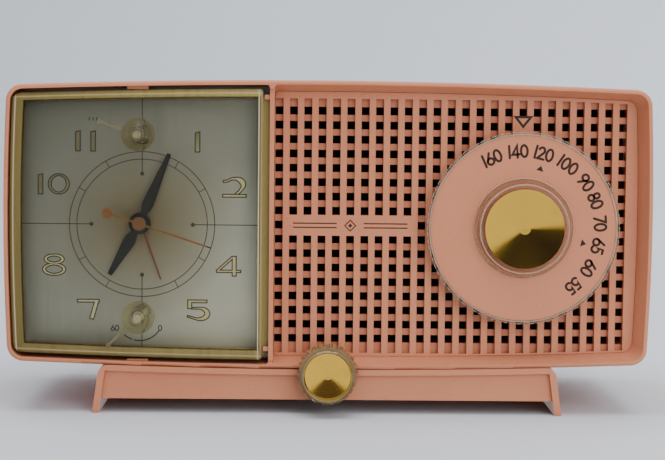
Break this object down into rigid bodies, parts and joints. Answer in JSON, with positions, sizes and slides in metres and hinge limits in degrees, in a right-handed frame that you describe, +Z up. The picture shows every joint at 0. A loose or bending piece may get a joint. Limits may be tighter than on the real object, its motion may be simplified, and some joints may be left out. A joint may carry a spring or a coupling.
{
  "type": "clock radio",
  "caption": "Table-top clock radio: bowed moulded cabinet on a low stand, clock under a clear crystal on the left, lattice grille with a large tuning dial on the right.",
  "frame": {"origin": "on the surface that the radio stands on, under the middle of its bounding box", "axes": "+X to the listener's right, -Y towards the listener, +Z up"},
  "size_m": [0.3084, 0.136, 0.1592],
  "materials": {
    "cabinet_plastic": "glossy moulded plastic, pink",
    "clear_plastic": "clear moulded plastic, slightly aged",
    "crystal_plastic": "clear moulded plastic, yellowed with age",
    "spun_brass": "radially brushed",
    "clock_face": "brushed and printed",
    "black_hand": "satin black",
    "alarm_red": "satin red-brown",
    "hand_brass": "satin",
    "gear_brass": "machined",
    "steel": "bright steel",
    "zinc_plate": "zinc-plated sheet",
    "tin_can": "drawn aluminium",
    "valve_glass": "clear glass",
    "phenolic": "brown laminate",
    "black_plastic": "black moulding",
    "black_cloth": "black acoustic cloth",
    "paper_cone": "dark felted paper",
    "magnet": "cast",
    "coil_tape": "varnished paper",
    "iron_core": "laminated iron",
    "pressed_board": "pressed brown board",
    "ferrite": "dark sintered",
    "knob_plastic": "dark moulded plastic"
  },
  "bodies": {
    "root": {"alarm_switch": "phenolic", "antenna_clips": "phenolic", "antenna_coil": "coil_tape", "antenna_rod": "ferrite", "base_screws": "steel", "base_stand": "cabinet_plastic", "cabinet": "cabinet_plastic", "chassis": "zinc_plate", "circuit_board": "phenolic", "clock_crystal": "crystal_plastic", "clock_dial": "clock_face", "electrolytic_can": "tin_can", "grille_cloth": "black_cloth", "if_cans": "tin_can", "mains_inlet": "black_plastic", "motor_coil": "coil_tape", "motor_core": "iron_core", "motor_rotor_can": "tin_can", "movement_case": "zinc_plate", "movement_plate": "zinc_plate", "output_transformer": "iron_core", "power_valves": "valve_glass", "rear_cover": "pressed_board", "rear_cover_screws": "steel", "sleep_timer": "phenolic", "small_valves": "valve_glass", "speaker_baffle": "pressed_board", "speaker_cone": "paper_cone", "speaker_frame": "zinc_plate", "speaker_grille": "cabinet_plastic", "speaker_magnet": "magnet", "speaker_screws": "steel", "tuner_frame": "zinc_plate", "tuner_stator": "tin_can", "valve_sockets": "phenolic", "volume_control": "zinc_plate"},
    "tuning": {"tuning_dial": "cabinet_plastic", "tuning_dial_rim": "clear_plastic", "tuning_knob": "clear_plastic", "tuning_cap": "spun_brass", "tuning_shaft": "steel", "tuner_rotor": "tin_can"},
    "volume": {"volume_knob": "clear_plastic", "volume_cap": "spun_brass", "volume_shaft": "steel"},
    "selector": {"selector_knob": "clear_plastic", "selector_shaft": "gear_brass"},
    "sleep": {"sleep_knob": "clear_plastic", "sleep_shaft": "gear_brass"},
    "second": {"second_hand": "hand_brass"},
    "minute": {"minute_hand": "black_hand", "minute_wheel": "gear_brass"},
    "hour": {"hour_hand": "black_hand", "hour_wheel": "gear_brass"},
    "alarm": {"alarm_hand": "alarm_red", "alarm_wheel": "gear_brass"},
    "time_set": {"time_set_knob": "knob_plastic", "time_set_shaft": "gear_brass"},
    "alarm_set": {"alarm_set_knob": "knob_plastic", "alarm_set_shaft": "gear_brass"}
  },
  "joints": [
    {"name": "tuning_turn", "type": "hinge", "parent": "root", "child": "tuning", "pos_m": [0.09265, 0, 0.09], "axis": [0, 1, 0], "range_deg": [-147, 33]},
    {"name": "volume_turn", "type": "hinge", "parent": "root", "child": "volume", "pos_m": [0, 0, 0.02], "axis": [0, 1, 0], "range_deg": [-150, 150]},
    {"name": "selector_turn", "type": "hinge", "parent": "root", "child": "selector", "pos_m": [-0.09045, 0, 0.1329], "axis": [0, 1, 0], "range_deg": [0, 120]},
    {"name": "sleep_turn", "type": "hinge", "parent": "root", "child": "sleep", "pos_m": [-0.09035, 0, 0.0461], "axis": [0, 1, 0], "range_deg": [-107, 13]},
    {"name": "minute_turn", "type": "hinge", "parent": "root", "child": "minute", "pos_m": [-0.09085, 0, 0.09], "axis": [0, 1, 0], "continuous": true},
    {"name": "second_turn", "type": "hinge", "parent": "root", "child": "second", "pos_m": [-0.09085, 0, 0.09], "axis": [0, 1, 0], "continuous": true},
    {"name": "hour_turn", "type": "hinge", "parent": "root", "child": "hour", "pos_m": [-0.09085, 0, 0.09], "axis": [0, 1, 0], "continuous": true},
    {"name": "time_set_turn", "type": "hinge", "parent": "root", "child": "time_set", "pos_m": [-0.062, 0, 0.103], "axis": [0, 1, 0], "continuous": true},
    {"name": "alarm_turn", "type": "hinge", "parent": "root", "child": "alarm", "pos_m": [-0.09085, 0, 0.09], "axis": [0, 1, 0], "continuous": true},
    {"name": "alarm_set_turn", "type": "hinge", "parent": "root", "child": "alarm_set", "pos_m": [-0.062, 0, 0.077], "axis": [0, 1, 0], "continuous": true}
  ],
  "couplings": [
    {"joint": "second_turn", "follows": "minute_turn", "ratio": 60},
    {"joint": "hour_turn", "follows": "minute_turn", "ratio": 0.083333},
    {"joint": "time_set_turn", "follows": "minute_turn", "ratio": -2},
    {"joint": "alarm_set_turn", "follows": "alarm_turn", "ratio": -2}
  ]
}
